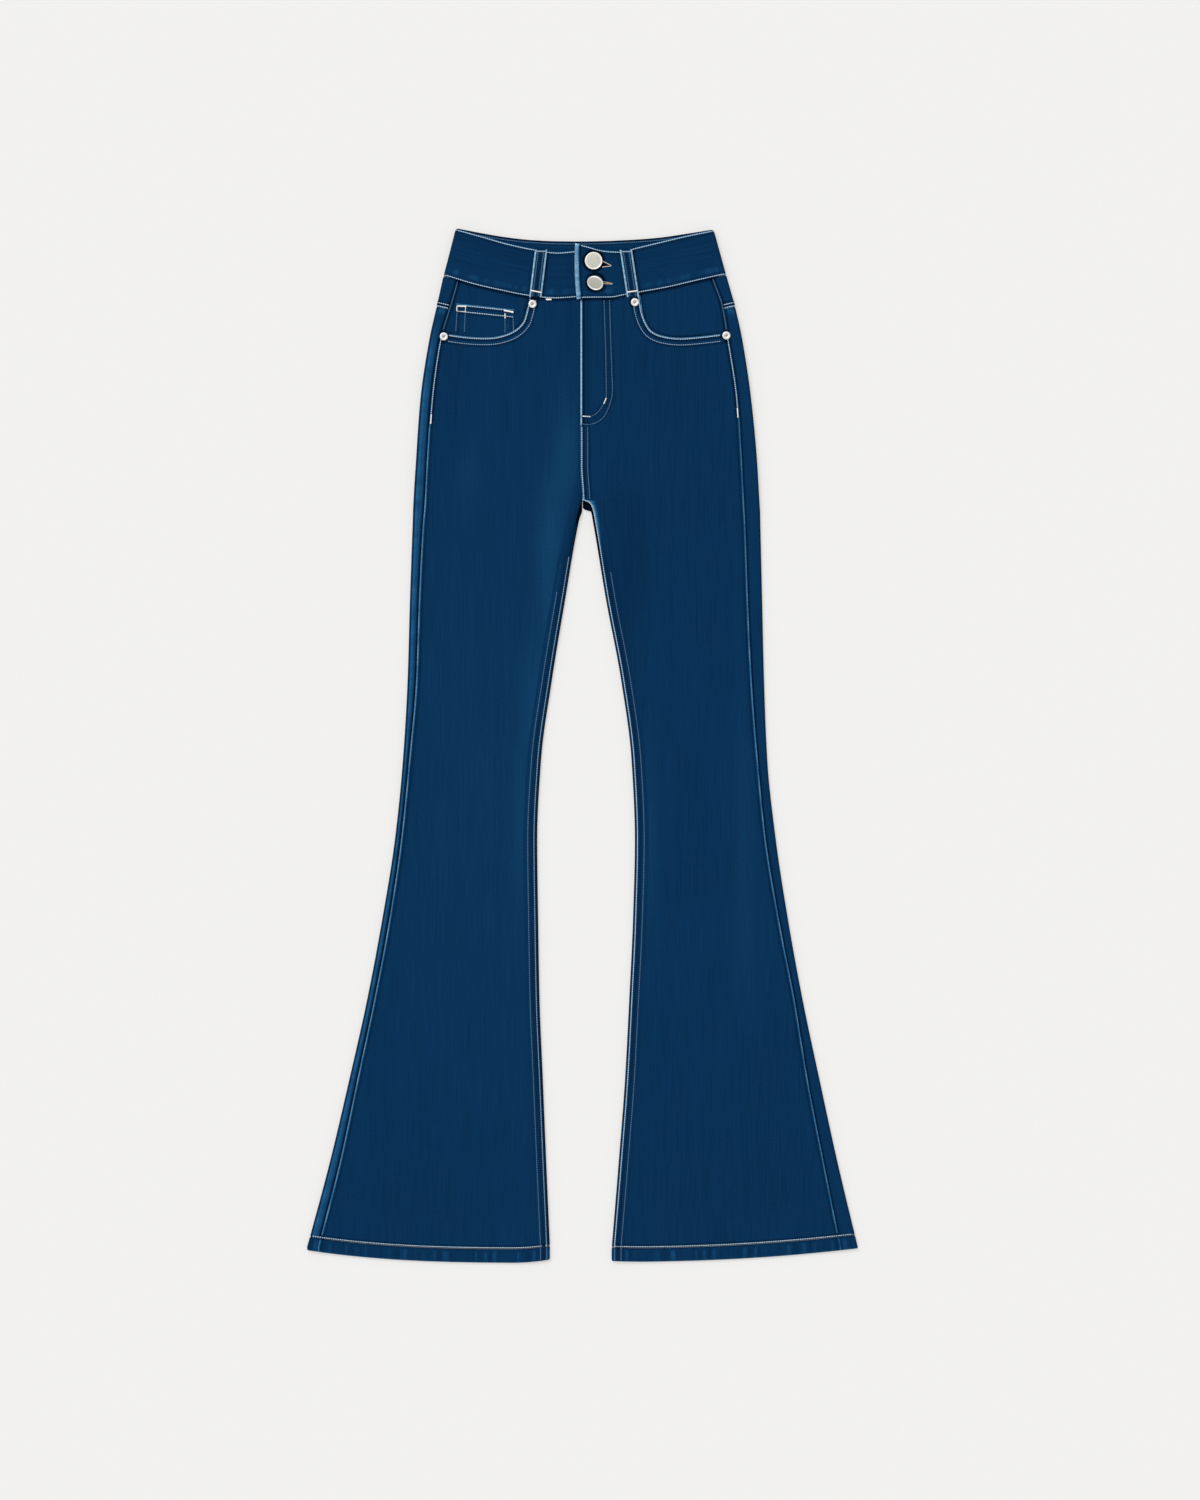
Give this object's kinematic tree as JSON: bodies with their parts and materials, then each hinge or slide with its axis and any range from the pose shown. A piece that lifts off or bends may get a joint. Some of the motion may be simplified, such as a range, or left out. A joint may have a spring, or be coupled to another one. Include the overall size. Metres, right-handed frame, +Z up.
{
  "type": "flared jeans",
  "caption": "Flared denim jeans laid flat on their back, with a shaped waistband, belt loops, a buttoned fly lap, front, coin and back pockets and wide hems.",
  "frame": {"origin": "centre of the bounding box's bottom face, on the surface that the jeans lie on", "axes": "+Y from the hems to the waist, +X to the wearer's left, +Z up out of the front of the jeans"},
  "size_m": [0.584, 1.0965, 0.0182],
  "materials": {
    "thread": "pale blue-grey topstitching thread, cream at the bar tacks",
    "denim": "dark petrol blue stretch denim twill, paler along its seams",
    "button": "pale satin face with a bright rim",
    "rivet": "bright silver"
  },
  "bodies": {
    "root": {"front_panel_right": "denim", "front_panel_left": "denim", "back_panel_right": "denim", "back_panel_left": "denim", "back_yoke_right": "denim", "back_yoke_left": "denim", "waistband": "denim", "pocket_facing_right": "denim", "pocket_facing_left": "denim", "coin_pocket": "denim", "back_pocket_right": "denim", "back_pocket_left": "denim", "hem_right": "denim", "hem_left": "denim", "belt_loop_front_right": "denim", "belt_loop_front_left": "denim", "belt_loop_back_right": "denim", "belt_loop_back_centre": "denim", "belt_loop_back_left": "denim", "button_top": "button", "button_lower": "button", "rivet_right_inner": "rivet", "rivet_right_outer": "rivet", "rivet_left_inner": "rivet", "rivet_left_outer": "rivet"}
  },
  "joints": []
}
